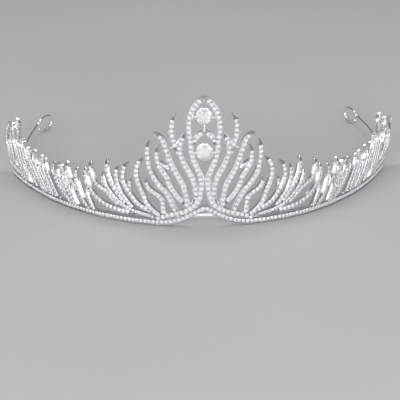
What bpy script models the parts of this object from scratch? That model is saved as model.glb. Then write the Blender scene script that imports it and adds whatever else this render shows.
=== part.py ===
"""A bridal tiara: an open horseshoe of flame and leaf strands soldered along a stone-set rail.

Run with: blender --background --python part.py

The tiara stands on its rail, with its front towards -Y. Everything on the horseshoe is laid out
by two numbers in millimetres: s, the distance round the rail from the front centre, and z, the
height above the table. The left and right halves mirror each other, so s is given without sign.
"""

import bisect
import math

import bmesh
import bpy
from mathutils import Matrix, Vector

MM = 0.001

# The horseshoe in plan: a superellipse through the front faces of the rail.
HALF_WIDTH = 82.4
HALF_DEPTH = 141.5
ROUNDNESS = 2.1
FRONT_X = -0.62  # the front centre in the part's frame, whose origin is under the middle of the box
FRONT_Y = -72.85
END_FLARE = {"left": 0.4, "right": 2.2}  # how far the tall end leaves lean out, per 20 mm of height
FLARE_START = 102.0
FLARE_FULL = 116.0

# Metalwork
STRAND_DEPTH = 1.5
TIP_WIDTH = 0.7
GAP = 0.3  # the solder line between two pieces
CENTRE_GAP = 0.15  # half the solder line on the plane of symmetry
INSET = 0.15  # a branch is this much lower than the strand that it grows from
STATION_SPACING = 2.2
RAIL_END = 110.0
BAND_BEHIND = 1.85
BAND_THICKNESS = 0.9
BAND_HEIGHT = 1.5
BAND_END = 108.0
WIRE_RADIUS = 0.5
LUG_RADIUS = 1.0

# The two big stones
STONE_RADIUS = 3.1
STONE_TABLE = 1.8
STONE_CROWN = 1.0
STONE_GIRDLE = 0.2
STONE_PAVILION = 2.7
STONE_BEHIND = 0.3
UPPER_STONE_Z = 41.0
LOWER_STONE_Z = 27.9
UPPER_CLAWS = (3.78, 0.34, 0.42)  # how far out they stand, their radius and their beads' radius
LOWER_CLAWS = (3.45, 0.22, 0.26)
CLAW_BEAD_OUT = 0.55  # how far the beads stand in front of the stone's girdle
RING_OUTER = 2.95  # the ring behind each stone
RING_INNER = 2.2
RING_FRONT = 1.5  # how far it lies behind the girdle
RING_BACK = 2.3
CLAW_BEND = 1.04  # the radius of a claw's bend and of its upright end, over the radius of its foot
CLAW_END = 0.97

# How finely round and curved shapes are cut
ROUND_SIDES = 8
LUG_SIDES = 10
STONE_SIDES = 16
RING_SIDES = 20
RAIL_SPACING = 2.5
WIRE_SPACING = 4.0
MEETING_SPACING = 0.8

# The rail's lower and upper edges, which rise over the front arch, as (s, z).
RAIL_LOW = [
    (0, 6.1), (0.9, 5.6), (2.4, 4.8), (4.4, 3.8), (6.3, 2.8), (8.5, 1.85), (11, 1.1), (14, 0.4),
    (17, 0), (20, 0)]
RAIL_HIGH = [
    (0, 8.3), (1.1, 7.8), (2.7, 6.95), (4.6, 6), (6.5, 5), (8.5, 4.15), (11, 3.45), (14, 2.95),
    (17, 2.7), (20, 2.6)]
BAND_LOW = [(0, 2.9), (5, 2.6), (9, 1.7), (13, 0.6), (17, 0), (20, 0)]

# Each piece of one side is one or more strokes, (width, width at the root, tip length, points from
# tip to root). The first stroke is the strand and the others branch from it. A piece is trimmed
# where it meets a piece that stands before it in this table.
PIECES = {
    "centre_scroll": [
        (2.1, 2.1, 4.0, [
            (-0.5, 48.5), (0.5, 47.8), (1.3, 47.1), (2.5, 45.8), (3.9, 44), (5.1, 41.4), (5.65, 38),
            (5.5, 34.6),
            (4.95, 31.8), (4.85, 28.9), (4.1, 25.4), (3, 22.4), (2, 20.2), (1.35, 18.4), (1.1, 16.4),
            (1.15, 14.2),
            (1.5, 12.3), (2, 10.4), (2.8, 8.9), (4.4, 7.3), (7, 5.9), (10.5, 4.8), (14, 3.9), (17.5, 2.5)]),
        (2.0, 2.0, 3.0, [(-0.5, 35.7), (0.5, 35.25), (1.3, 34.8), (2.1, 34.2), (3.2, 32.9), (4.4, 30.8)]),
    ],
    "inner_scroll": [
        (2.1, 2.1, 4.0, [
            (6.7, 35.2), (8.2, 32.4), (9, 29.9), (8.7, 27), (7.4, 23.4), (5.5, 20), (4.3, 17.6),
            (3.65, 15.4),
            (3.25, 13.3), (3.15, 11.4), (3.5, 9.4), (4.6, 7.6)]),
    ],
    "short_horn": [
        (2.1, 2.1, 5.0, [
            (9.9, 42.3), (11.1, 40.4), (11.8, 37.6), (11.7, 34.4), (11.1, 31.6), (9.8, 29), (9.2, 28)]),
    ],
    "hooked_scroll": [
        (2.1, 2.1, 5.0, [
            (19.3, 34.1), (17.9, 34.2), (16.1, 33.1), (14.8, 31.1), (14, 28.6), (13.1, 26), (11.7, 22.4),
            (9.9, 19.1), (8.3, 16.2), (7.1, 13.1), (6.5, 10), (6.8, 5.8)]),
    ],
    "long_leaf": [
        (2.0, 1.9, 5.0, [
            (16.4, 30.4), (17.3, 28.5), (17.4, 25.5), (16.8, 22.8), (15.2, 20.2), (13.8, 18.3), (13.1, 16),
            (11.5, 13.1), (9.6, 10.8), (7, 8.7)]),
        (1.8, 1.8, 1.0, [(16.9, 24.4), (15.4, 23), (13.9, 22.4), (12.4, 22.8)]),
    ],
    "tall_horn": [
        (2.1, 2.4, 5.0, [
            (20, 32), (20.8, 29.8), (21, 26), (20.4, 21.5), (18.9, 18.3), (16.6, 15.2), (14.3, 12.8),
            (12.6, 9.9), (11.2, 6.7), (10.3, 4.5)]),
    ],
    "crescent": [
        (2.1, 1.8, 4.0, [
            (22.4, 24.9), (24.4, 23.2), (25.6, 20.3), (25.4, 17.2), (24.1, 13.9), (22.9, 11.4), (22.1, 9),
            (20.4, 6.8), (18.3, 5), (16.6, 3.9), (14, 2.4)]),
    ],
    "low_spike": [
        (1.9, 1.9, 3.0, [
            (21.5, 17.5), (21.6, 15.6), (20.4, 13.5), (18.4, 12.2), (16.4, 10.9), (15.5, 8.8), (15.1, 6.4),
            (14.7, 2.3)]),
    ],
    "curled_leaf": [
        (2.1, 1.8, 5.0, [
            (28.3, 22.9), (30.2, 21.3), (31.1, 18.6), (31.1, 16), (29.7, 12.9), (27.5, 10.2), (25.2, 7.8),
            (22.4, 6.2), (19.8, 5.2), (18.4, 4.6)]),
        (1.7, 1.5, 3.0, [(27.2, 17.2), (28, 15.8), (28.3, 14.2), (28.2, 12.6), (28, 11)]),
    ],
    "long_wave": [
        (2.0, 1.2, 3.0, [
            (39.6, 17.5), (39.9, 16), (39.4, 13.9), (37.7, 11.6), (35.2, 9.2), (32.2, 6.9), (28.5, 5.2),
            (24, 4.2), (20, 3.4), (17, 2.3)]),
        (2.0, 1.6, 4.0, [
            (45.5, 20.7), (46.2, 18), (45.4, 15), (43.5, 12.6), (40.6, 11.2), (38, 9.8), (35.9, 8.2),
            (34, 6.8),
            (32.6, 5.8)]),
    ],
    "twin_leaf": [
        (2.0, 1.8, 4.0, [
            (32.6, 21.2), (33.8, 18.9), (33.8, 15.2), (32.5, 11.7), (30.1, 8.8), (28, 6.6), (26.2, 4.8)]),
        (2.1, 1.9, 4.0, [
            (37.7, 22.9), (38.1, 20), (37.1, 16.2), (35.3, 13), (33.3, 10.4), (31.2, 8), (29.2, 5.9)]),
    ],
    "split_wave": [
        (2.1, 2.2, 3.0, [
            (48.2, 17.9), (48.8, 15.6), (48.3, 13.1), (46.6, 10.2), (44.3, 7.9), (41, 6), (37.2, 4.9),
            (33.5, 4.2), (30, 4), (26.5, 4.4)]),
        (1.9, 1.6, 1.5, [(47.2, 11), (48.4, 8.6), (47.3, 6.2), (45.9, 4.1), (44.2, 1.9)]),
    ],
    "broad_leaf": [
        (2.1, 1.8, 3.0, [(52.8, 16.9), (53.9, 14.4), (53.6, 11), (52.3, 7.9), (50.5, 5.1), (46.9, 1.9)]),
    ],
    "tall_leaf": [
        (2.1, 2.0, 4.0, [(58.7, 18.2), (59.2, 15.7), (58.3, 12.5), (56.5, 10.2), (54.3, 8.6), (52.6, 7.6)]),
    ],
    "folded_leaf": [
        (2.0, 1.8, 3.0, [(65.9, 15.4), (63.4, 15), (61.2, 12.9), (59.3, 9.8), (57.2, 6.6), (53.8, 1.9)]),
        (1.9, 1.8, 2.0, [(62.9, 13.2), (62.3, 10.9), (60.4, 8), (58.1, 5.4), (54.8, 1.9)]),
    ],
    "winged_leaf": [
        (2.0, 1.7, 3.0, [(67, 16), (68.4, 13.8), (67.9, 11.2), (65.6, 8.2), (62.4, 5.8), (56.4, 1.9)]),
        (1.8, 1.6, 2.0, [(65.7, 13.8), (65.6, 11.8), (64.2, 9.3), (61.9, 7.1), (58.4, 3.8)]),
    ],
    "plain_leaf": [
        (2.0, 1.8, 4.0, [(74.4, 15.8), (74.7, 13.4), (73.1, 10.4), (70.4, 7.4), (65.1, 1.9)]),
    ],
    "paired_leaf": [
        (2.0, 1.8, 3.0, [(77.7, 16.3), (78, 14), (76.6, 11), (74.2, 7.9), (71.5, 5), (68.8, 1.9)]),
        (1.9, 1.6, 2.0, [(79.9, 12.4), (79.2, 10.3), (77, 7.8), (74.6, 5.7), (70.7, 2.2)]),
    ],
    "side_leaf": [
        (2.0, 1.8, 3.0, [(83.6, 16.8), (84.2, 14.4), (83.2, 11.3), (80.7, 8.3), (77.5, 5.5), (73, 1.9)]),
    ],
    "blade_leaf": [
        (2.0, 1.8, 3.0, [(90.3, 16.1), (88.7, 13), (86, 10.1), (82.8, 7.2), (79.4, 4.6), (76, 1.9)]),
        (1.9, 1.6, 2.0, [(91, 13.6), (89.7, 11), (87, 8.3), (83.9, 6.1), (80.4, 4.9)]),
    ],
    "blunt_leaf": [
        (2.5, 1.8, 1.8, [
            (95.1, 18.3), (95, 15.7), (93.4, 12.4), (90.6, 9.1), (87.1, 6), (83.3, 3.6), (80.7, 1.9)]),
    ],
    "flag_leaf": [
        (2.8, 1.8, 3.5, [
            (102.6, 24.6), (101.4, 21.6), (101.5, 18.4), (101.8, 15.4), (100, 11.6), (96.8, 8), (92.9, 4.9),
            (88, 1.9)]),
        (2.0, 1.7, 2.0, [(98.4, 17.2), (98.1, 14.6), (96, 11.4), (93, 8.2), (91.4, 5.9), (90.2, 3.2)]),
        (2.0, 1.7, 2.0, [(105, 15), (104.2, 12), (101.4, 8.6), (97.6, 5.6), (94.6, 3.9), (91.2, 1.9)]),
    ],
    "end_flame": [
        (2.4, 2.0, 3.5, [
            (112, 20.6), (115.3, 18), (117.9, 14.6), (118.2, 10.8), (116, 6.9), (112.4, 4.5), (107, 3.7),
            (102, 3.6), (98.5, 3.4), (94.6, 2.1)]),
        (2.0, 1.8, 2.5, [
            (108.4, 21.4), (107.4, 18.4), (107.5, 14.6), (105.6, 10.4), (102, 6.9), (98.4, 4.6),
            (93.5, 1.8)]),
        (2.0, 1.8, 2.0, [(111.6, 16.6), (111.9, 13), (109.8, 8.8), (106, 5.3), (103.4, 3.9)]),
        (2.0, 1.8, 2.0, [(115.2, 12.8), (114.4, 9.2), (111.4, 6), (107.6, 3.9)]),
    ],
}

# Each tail: where the round wire runs, as (x, y, z) with y from the front centre, from the
# horseshoe's end to the lug that closes the hairpin eye, and the far end of the eye.
TAILS = {
    "left": (
        [(-69.9, 71.3, 0.8), (-71.1, 84, 2), (-70, 98, 3), (-68.1, 112, 3.9), (-65.5, 128, 4.6)],
        (-60.2, 140.2)),
    "right": (
        [(69.9, 71.3, 0.8), (73, 86, 2.1), (73.6, 101, 3), (72.3, 117, 3.9), (69.1, 134, 4.6)],
        (65.2, 146)),
}
EYE_HEIGHT = 6.6
EYE_STEPS = 18
EYE_MOUTH = 22.0  # half of what the eye leaves open at the lug, in degrees
EYE_SQUARENESS = 0.8  # 1 is an ellipse, and less has flatter sides


def clear_scene():
    for item in list(bpy.data.objects):
        bpy.data.objects.remove(item, do_unlink=True)


def new_collection(name):
    made = bpy.data.collections.new(name)
    bpy.context.scene.collection.children.link(made)
    return made


def metal(name, colour, roughness, metallic=1.0):
    made = bpy.data.materials.new(name)
    made.use_nodes = True
    shader = made.node_tree.nodes["Principled BSDF"]
    shader.inputs["Base Color"].default_value = (*colour, 1.0)
    shader.inputs["Metallic"].default_value = metallic
    shader.inputs["Roughness"].default_value = roughness
    return made


# --- The horseshoe -------------------------------------------------------------------------


def horseshoe_table():
    """Arc length, x and y along the right half of the superellipse, front centre first."""
    lengths, xs, ys = [0.0], [0.0], [0.0]
    steps = 4000
    for i in range(1, steps + 1):
        t = 0.5 * math.pi * i / steps
        x = HALF_WIDTH * math.sin(t) ** (2 / ROUNDNESS)
        y = HALF_DEPTH - HALF_DEPTH * max(math.cos(t), 0.0) ** (2 / ROUNDNESS)
        lengths.append(lengths[-1] + math.hypot(x - xs[-1], y - ys[-1]))
        xs.append(x)
        ys.append(y)
    return lengths, xs, ys


LENGTHS, PLAN_X, PLAN_Y = horseshoe_table()


def plan_point(s):
    i = min(max(bisect.bisect_left(LENGTHS, s), 1), len(LENGTHS) - 1)
    f = (s - LENGTHS[i - 1]) / (LENGTHS[i] - LENGTHS[i - 1])
    x = PLAN_X[i - 1] + f * (PLAN_X[i] - PLAN_X[i - 1])
    y = PLAN_Y[i - 1] + f * (PLAN_Y[i] - PLAN_Y[i - 1])
    return x, y


def wall_frame(side, s):
    """The point of the horseshoe at s and the level direction out of it, in millimetres."""
    x, y = plan_point(s)
    x0, y0 = plan_point(max(s - 0.5, 0.0))
    x1, y1 = plan_point(s + 0.5)
    along = Vector((x1 - x0, y1 - y0, 0)).normalized()
    hand = -1 if side == "left" else 1
    return Vector((FRONT_X + hand * x, FRONT_Y + y, 0)), Vector((hand * along.y, -along.x, 0))


def wall_point(side, s, z, out=0.0):
    """A point on the horseshoe's outer face, in metres, lifted off it by out."""
    point, outward = wall_frame(side, s)
    lean = min(max((s - FLARE_START) / (FLARE_FULL - FLARE_START), 0.0), 1.0)
    lean = lean * lean * (3 - 2 * lean) * END_FLARE[side] * z / 20
    point = point + outward * (out + lean)
    point.z = z
    return point * MM


def smooth_line(points, spacing):
    """Points about spacing apart on a centripetal Catmull-Rom curve through the given ones."""
    ends = [tuple(2 * a - b for a, b in zip(points[0], points[1]))]
    ends += list(points)
    ends += [tuple(2 * a - b for a, b in zip(points[-1], points[-2]))]
    line = []
    for p0, p1, p2, p3 in zip(ends, ends[1:], ends[2:], ends[3:]):
        t1 = math.dist(p0, p1) ** 0.5
        t2 = t1 + math.dist(p1, p2) ** 0.5
        t3 = t2 + math.dist(p2, p3) ** 0.5
        count = max(1, round(math.dist(p1, p2) / spacing))
        for k in range(count):
            t = t1 + (t2 - t1) * k / count
            point = []
            for a, b, c, d in zip(p0, p1, p2, p3):
                ab = a + (b - a) * t / t1
                bc = b + (c - b) * (t - t1) / (t2 - t1)
                cd = c + (d - c) * (t - t2) / (t3 - t2)
                abc = ab + (bc - ab) * t / t2
                bcd = bc + (cd - bc) * (t - t1) / (t3 - t1)
                point.append(abc + (bcd - abc) * (t - t1) / (t2 - t1))
            line.append(tuple(point))
    return line + [tuple(points[-1])]


def edge_height(edge, s):
    """The height at s of an edge given as (s, z) points, which runs level past its last point."""
    for (s0, z0), (s1, z1) in zip(edge, edge[1:]):
        if s <= s1:
            return z0 + (z1 - z0) * max(s - s0, 0.0) / (s1 - s0)
    return edge[-1][1]


# --- Ribbons on the horseshoe --------------------------------------------------------------


def wall_ribbon(name, side, pairs, depth, out, collection, finish=None):
    """A closed bar whose outer face runs between pairs of (s, z) corners on the horseshoe."""
    count = len(pairs) - 1
    bm = bmesh.new()
    bmesh.ops.create_grid(bm, x_segments=1, y_segments=count, size=1.0)
    for vert in bm.verts:
        station = round((vert.co.y + 1) * count / 2)
        s, z = pairs[station][vert.co.x > 0]
        vert.co = wall_point(side, s, z, out)
    bm.normal_update()
    middle = pairs[count // 2][0][0]
    outward = wall_frame(side, middle)[1]
    if sum(face.normal.dot(outward) for face in bm.faces) < 0:
        bmesh.ops.reverse_faces(bm, faces=list(bm.faces))
    mesh = bpy.data.meshes.new(name)
    bm.to_mesh(mesh)
    bm.free()
    made = bpy.data.objects.new(name, mesh)
    collection.objects.link(made)
    shell = made.modifiers.new("depth", "SOLIDIFY")
    shell.thickness = depth * MM
    shell.offset = -1
    if finish:
        mesh.materials.append(finish)
    return made


def stroke_pairs(stroke, grow=0.0):
    """The two edges of a stroke that tapers to its tip, grown on every side by grow."""
    width, root_width, tip_length, points = stroke
    line = smooth_line(points, STATION_SPACING)
    total = sum(math.dist(a, b) for a, b in zip(line, line[1:]))
    run, pairs = 0.0, []
    for i, here in enumerate(line):
        before, after = line[max(i - 1, 0)], line[min(i + 1, len(line) - 1)]
        run += math.dist(before, here) if i else 0.0
        length = math.dist(before, after)
        along = ((after[0] - before[0]) / length, (after[1] - before[1]) / length)
        full = width + (root_width - width) * run / total
        taper = math.sin(0.5 * math.pi * min(run / tip_length, 1.0))
        half = 0.5 * (TIP_WIDTH + (full - TIP_WIDTH) * taper) + grow
        shift = grow * ((i == len(line) - 1) - (i == 0))
        s, z = here[0] + along[0] * shift, here[1] + along[1] * shift
        least = CENTRE_GAP - grow
        pairs.append((
            (max(s - along[1] * half, least), z + along[0] * half),
            (max(s + along[1] * half, least), z - along[0] * half),
        ))
    return pairs


def helper(made):
    made.hide_render = True
    made.display_type = "WIRE"
    return made


def cut(target, cutter, operation="DIFFERENCE"):
    made = target.modifiers.new(operation.lower() + "_" + cutter.name, "BOOLEAN")
    made.operation = operation
    made.object = cutter


def strokes_meet(strokes, others):
    """Whether any stroke of one piece comes within a solder line of any stroke of another."""
    for stroke in strokes:
        for other in others:
            reach = 0.5 * (stroke[0] + other[0]) + 2 * GAP
            line = smooth_line(stroke[3], MEETING_SPACING)
            against = smooth_line(other[3], MEETING_SPACING)
            if any(math.dist(a, b) < reach for a in line for b in against):
                return True
    return False


def make_piece(name, side, strokes, parts, helpers, finish):
    """A strand with its branches joined on, and a grown copy of it that trims its neighbours."""
    made = wall_ribbon(name, side, stroke_pairs(strokes[0]), STRAND_DEPTH, 0.0, parts, finish)
    cutters = []
    for number, stroke in enumerate(strokes):
        depth = STRAND_DEPTH + 2 * GAP
        grown = wall_ribbon(f"cut_{name}_{number}", side, stroke_pairs(stroke, GAP), depth, GAP, helpers)
        cutters.append(helper(grown))
        if number:
            depth = STRAND_DEPTH - 2 * INSET
            branch = wall_ribbon(
                f"branch_{name}_{number}", side, stroke_pairs(stroke), depth, -INSET, helpers)
            cut(made, helper(branch), "UNION")
    return made, cutters


def rail_pairs(low, high, start, end, spacing, grow=0.0):
    count = math.ceil((end - start) / spacing)
    stations = [start + (end - start) * i / count for i in range(count + 1)]
    return [((s, edge_height(low, s) - grow), (s, edge_height(high, s) + grow)) for s in stations]


def make_rail(side, parts, helpers, finish):
    pairs = rail_pairs(RAIL_LOW, RAIL_HIGH, CENTRE_GAP, RAIL_END, RAIL_SPACING)
    rail = wall_ribbon(f"rail_{side}", side, pairs, STRAND_DEPTH, 0.0, parts, finish)
    grown = rail_pairs(RAIL_LOW, RAIL_HIGH, 0.0, RAIL_END + GAP, RAIL_SPACING, GAP)
    cutter = wall_ribbon(f"cut_rail_{side}", side, grown, STRAND_DEPTH + 2 * GAP, GAP, helpers)
    return rail, helper(cutter)


def make_side(side, parts, helpers, finish):
    rail, rail_cutter = make_rail(side, parts, helpers, finish)
    done = []
    for name, strokes in PIECES.items():
        piece, cutters = make_piece(f"{name}_{side}", side, strokes, parts, helpers, finish)
        cut(piece, rail_cutter)
        for other_strokes, other_cutters in done:
            for stroke, cutter in zip(other_strokes, other_cutters):
                if strokes_meet(strokes, [stroke]):
                    cut(piece, cutter)
        done.append((strokes, cutters))


def make_band(parts, finish):
    """The plain comfort band behind the rail, in one piece from end to end."""
    count = math.ceil(2 * BAND_END / 3.0)
    bm = bmesh.new()
    bmesh.ops.create_grid(bm, x_segments=count, y_segments=1, size=1.0)
    for vert in bm.verts:
        s = vert.co.x * BAND_END
        side = "left" if s < 0 else "right"
        low = edge_height(BAND_LOW, abs(s))
        z = low + BAND_HEIGHT * (vert.co.y > 0)
        point, outward = wall_frame(side, abs(s))
        point = point - outward * BAND_BEHIND
        vert.co = Vector((point.x, point.y, z)) * MM
    bm.normal_update()
    if sum(face.normal.y for face in bm.faces) > 0:
        bmesh.ops.reverse_faces(bm, faces=list(bm.faces))
    mesh = bpy.data.meshes.new("inner_band")
    bm.to_mesh(mesh)
    bm.free()
    mesh.materials.append(finish)
    band = bpy.data.objects.new("inner_band", mesh)
    parts.objects.link(band)
    shell = band.modifiers.new("thickness", "SOLIDIFY")
    shell.thickness = BAND_THICKNESS * MM
    shell.offset = -1


# --- The two big stones --------------------------------------------------------------------


def turned(name, profile, steps, z, collection, finish, closed=False):
    """A shape turned about a level axis that points to the front; profile is (radius, forward)."""
    bm = bmesh.new()
    points = [bm.verts.new((radius * MM, 0, forward * MM)) for radius, forward in profile]
    for a, b in zip(points, points[1:]):
        bm.edges.new((a, b))
    if closed:
        bm.edges.new((points[-1], points[0]))
    mesh = bpy.data.meshes.new(name)
    bm.to_mesh(mesh)
    bm.free()
    mesh.materials.append(finish)
    made = bpy.data.objects.new(name, mesh)
    collection.objects.link(made)
    place = Matrix.Translation(Vector((FRONT_X, FRONT_Y + STONE_BEHIND, z)) * MM)
    made.matrix_world = place @ Matrix.Rotation(math.pi / 2, 4, "X")
    screw = made.modifiers.new("turn", "SCREW")
    screw.steps = steps
    screw.render_steps = steps
    screw.use_merge_vertices = True
    screw.merge_threshold = 0.00001
    return made


def make_stone(name, z, parts, finish):
    profile = [
        (0, STONE_CROWN + 0.5 * STONE_GIRDLE), (STONE_TABLE, STONE_CROWN + 0.5 * STONE_GIRDLE),
        (STONE_RADIUS, 0.5 * STONE_GIRDLE), (STONE_RADIUS, -0.5 * STONE_GIRDLE), (0, -STONE_PAVILION)]
    turned(name, profile, STONE_SIDES, z, parts, finish)


def rod_between(name, start, end, radius, collection):
    """A round rod from start to end, both in metres."""
    bm = bmesh.new()
    run = end - start
    bmesh.ops.create_cone(
        bm, cap_ends=True, segments=ROUND_SIDES, radius1=radius * MM, radius2=radius * MM,
        depth=run.length,
        matrix=Matrix.Translation((start + end) / 2) @ run.to_track_quat("Z", "Y").to_matrix().to_4x4())
    mesh = bpy.data.meshes.new(name)
    bm.to_mesh(mesh)
    bm.free()
    made = bpy.data.objects.new(name, mesh)
    collection.objects.link(made)
    return made


def ball_at(name, centre, radius, collection, segments=ROUND_SIDES):
    bm = bmesh.new()
    bmesh.ops.create_uvsphere(
        bm, u_segments=segments, v_segments=segments // 2, radius=radius * MM,
        matrix=Matrix.Translation(centre))
    mesh = bpy.data.meshes.new(name)
    bm.to_mesh(mesh)
    bm.free()
    made = bpy.data.objects.new(name, mesh)
    collection.objects.link(made)
    return made


def make_setting(name, z, claws, claw_angles, parts, helpers, finish):
    """A ring behind the stone with round claws that rise past its girdle and end in beads."""
    ring_profile = [
        (RING_OUTER, -RING_FRONT), (RING_OUTER, -RING_BACK), (RING_INNER, -RING_BACK),
        (RING_INNER, -RING_FRONT)]
    ring = turned(name, ring_profile, RING_SIDES, z, parts, finish, closed=True)
    reach, radius, bead = claws
    foot = 0.5 * (RING_OUTER + RING_INNER)
    centre = Vector((FRONT_X, FRONT_Y + STONE_BEHIND, z))
    for number, angle in enumerate(claw_angles):
        away = Vector((math.cos(math.radians(angle)), 0, math.sin(math.radians(angle))))
        root = (centre + away * foot + Vector((0, 0.5 * (RING_FRONT + RING_BACK), 0))) * MM
        girdle = (centre + away * reach + Vector((0, STONE_BEHIND, 0))) * MM
        crown = (centre + away * reach - Vector((0, CLAW_BEAD_OUT, 0))) * MM
        pieces = [
            rod_between(f"{name}_stem_{number}", root, girdle, radius, helpers),
            ball_at(f"{name}_bend_{number}", girdle, radius * CLAW_BEND, helpers),
            rod_between(f"{name}_claw_{number}", girdle, crown, radius * CLAW_END, helpers),
            ball_at(f"{name}_bead_{number}", crown, bead, helpers),
        ]
        for piece in pieces:
            cut(ring, helper(piece), "UNION")


# --- The tails -----------------------------------------------------------------------------


def wire(name, points, radius, collection, finish):
    curve = bpy.data.curves.new(name, "CURVE")
    curve.dimensions = "3D"
    curve.bevel_depth = radius * MM
    curve.bevel_resolution = 1
    curve.use_fill_caps = True
    spline = curve.splines.new("POLY")
    spline.points.add(len(points) - 1)
    for spot, (x, y, z) in zip(spline.points, points):
        spot.co = ((FRONT_X + x) * MM, (FRONT_Y + y) * MM, z * MM, 1)
    curve.materials.append(finish)
    made = bpy.data.objects.new(name, curve)
    collection.objects.link(made)
    return made


def eye_points(lug, far_end):
    """A level-sided oval eye in the upright plane from the lug to its far end, open at the lug."""
    run_x, run_y = far_end[0] - lug[0], far_end[1] - lug[1]
    length = math.hypot(run_x, run_y)
    half_height = 0.5 * EYE_HEIGHT - WIRE_RADIUS
    half_length = 0.5 * length
    points = []
    widest = math.radians(180 - EYE_MOUTH)
    for i in range(EYE_STEPS + 1):
        turn = widest - 2 * widest * i / EYE_STEPS
        along = half_length * (1 + math.copysign(abs(math.cos(turn)) ** EYE_SQUARENESS, math.cos(turn)))
        up = half_height * math.copysign(abs(math.sin(turn)) ** EYE_SQUARENESS, math.sin(turn))
        points.append((
            lug[0] + run_x * along / length, lug[1] + run_y * along / length, 0.5 * EYE_HEIGHT + up))
    return points


def make_tail(side, parts, finish):
    route, far_end = TAILS[side]
    wire(f"tail_wire_{side}", smooth_line(route, WIRE_SPACING), WIRE_RADIUS, parts, finish)
    lug = route[-1]
    lead = Vector(lug) - Vector(route[-2])
    lug_centre = Vector(lug) + lead.normalized() * (LUG_RADIUS + GAP)
    middle = (lug_centre + Vector((FRONT_X, FRONT_Y, 0))) * MM
    lump = ball_at(f"solder_bead_{side}", middle, LUG_RADIUS, parts, LUG_SIDES)
    lump.data.materials.append(finish)
    start = lug_centre + lead.normalized() * (LUG_RADIUS + GAP)
    wire(f"hairpin_eye_{side}", eye_points(tuple(start), far_end), WIRE_RADIUS, parts, finish)


def main():
    clear_scene()
    parts = new_collection("bridal_tiara")
    helpers = new_collection("cutters")
    silver = metal("bright_metal", (0.83, 0.83, 0.85), 0.12)
    stone = metal("clear_stone", (0.95, 0.96, 1.0), 0.02, metallic=0.0)
    make_band(parts, silver)
    for side in ("left", "right"):
        make_side(side, parts, helpers, silver)
        make_tail(side, parts, silver)
    make_stone("upper_stone", UPPER_STONE_Z, parts, stone)
    make_stone("lower_stone", LOWER_STONE_Z, parts, stone)
    make_setting("upper_setting", UPPER_STONE_Z, UPPER_CLAWS, (0, 90, 180, 270), parts, helpers, silver)
    make_setting("lower_setting", LOWER_STONE_Z, LOWER_CLAWS, (0, 90, 180), parts, helpers, silver)


main()
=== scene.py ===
"""Looks of the bridal tiara: channel-set strands, pave stones, settings, tails, studio and camera.

Everything on the horseshoe is laid out by two numbers in millimetres: s, the distance round the rail
from the front centre, and z, the height above the table. A third, out, is the distance in front of
the strands' face. Both halves share one layout.
"""

import math
import random

import bmesh
import bpy
import numpy as np
from mathutils import Matrix, Vector


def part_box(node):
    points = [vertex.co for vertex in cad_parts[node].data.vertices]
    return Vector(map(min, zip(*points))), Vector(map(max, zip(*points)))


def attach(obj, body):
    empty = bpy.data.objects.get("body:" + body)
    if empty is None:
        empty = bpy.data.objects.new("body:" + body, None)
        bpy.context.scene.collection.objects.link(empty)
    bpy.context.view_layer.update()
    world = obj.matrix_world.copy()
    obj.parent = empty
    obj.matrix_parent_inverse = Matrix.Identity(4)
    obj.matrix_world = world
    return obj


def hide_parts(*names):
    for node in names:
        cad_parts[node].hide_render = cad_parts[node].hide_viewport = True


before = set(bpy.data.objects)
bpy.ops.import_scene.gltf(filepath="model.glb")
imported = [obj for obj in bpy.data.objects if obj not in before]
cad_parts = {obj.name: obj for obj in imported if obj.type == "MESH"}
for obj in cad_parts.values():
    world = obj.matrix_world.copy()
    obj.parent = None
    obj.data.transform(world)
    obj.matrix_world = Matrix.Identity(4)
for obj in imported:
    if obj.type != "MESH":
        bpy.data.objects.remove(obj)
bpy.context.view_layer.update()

MM = 0.001
SIDES = ("left", "right")

# --- The horseshoe, as in the CAD model ------------------------------------------------------

HALF_WIDTH = 82.4
HALF_DEPTH = 141.5
ROUNDNESS = 2.1
HALF_LENGTH = 140.0  # further round than any strand reaches
PLAN_STEP = 0.5
FLARE_HEIGHT = 20.0
END_FLARE = {"left": 0.4, "right": 2.2}  # how far out the tall end leaves lean at FLARE_HEIGHT
FLARE_START = 102.0
FLARE_FULL = 116.0

STRAND_DEPTH = 1.5
TIP_WIDTH = 0.7
RAIL_END = 110.0
RAIL_STEP = 0.5
EDGE_SPACING = 0.4  # between the points read off the rail's and the band's curved edges
BAND_END = 108.0
BAND_BEHIND = 1.85
BAND_THICKNESS = 0.9
BAND_HEIGHT = 1.5
BAND_ROUNDING = 0.22
BAND_SECTIONS = 289

STONE_BOX = {name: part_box(name) for name in ("upper_stone", "lower_stone")}
FRONT_X = (STONE_BOX["upper_stone"][0].x + STONE_BOX["upper_stone"][1].x) / 2 / MM
FRONT_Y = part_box("rail_left")[0].y / MM

# --- Sizes of the fine work ------------------------------------------------------------------

SPACING = 0.6  # between the sections along a strand
TIP_ROUND = 1.1  # the length over which a tip is rounded off
TIP_SECTIONS = (0.02, 0.06, 0.13, 0.24, 0.4, 0.6, 0.85)  # where its sections are, as shares of that
RIM = 0.2  # the bright edge on each side of a channel
RIM_SHARE = 0.4  # the most of a half width that a rim takes, and of a rim that a bevel takes
BEVEL = 0.09  # on the rim's outer edge
INNER_BEVEL = (0.3, 0.5)  # the width and the depth of the one on its inner edge, in outer bevels
WALL_SLOPE = 0.12  # how much wider the channel's mouth is than its floor on each side, in rims
BACK_WIDTH = 0.8  # the flat of a strand's back, as a share of its width
BACK_BEVEL = 0.25
BACK_TRIM = 0.02  # off the back of each strand, and a step more for each strand until
BACK_STEP = 0.012
BACK_STEPS = 9  # it starts again after this many
FLOOR = 0.72  # how deep a channel is under the stones
TIP_FLOOR = 0.28  # and at its empty tip
TIP_BACK = 0.3  # how deep a strand is at its very tip, as a share of its depth
SINK_START = 0.12  # how far outside an earlier strand a later one begins to dip under it
SINK_RUN = 0.34
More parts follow.
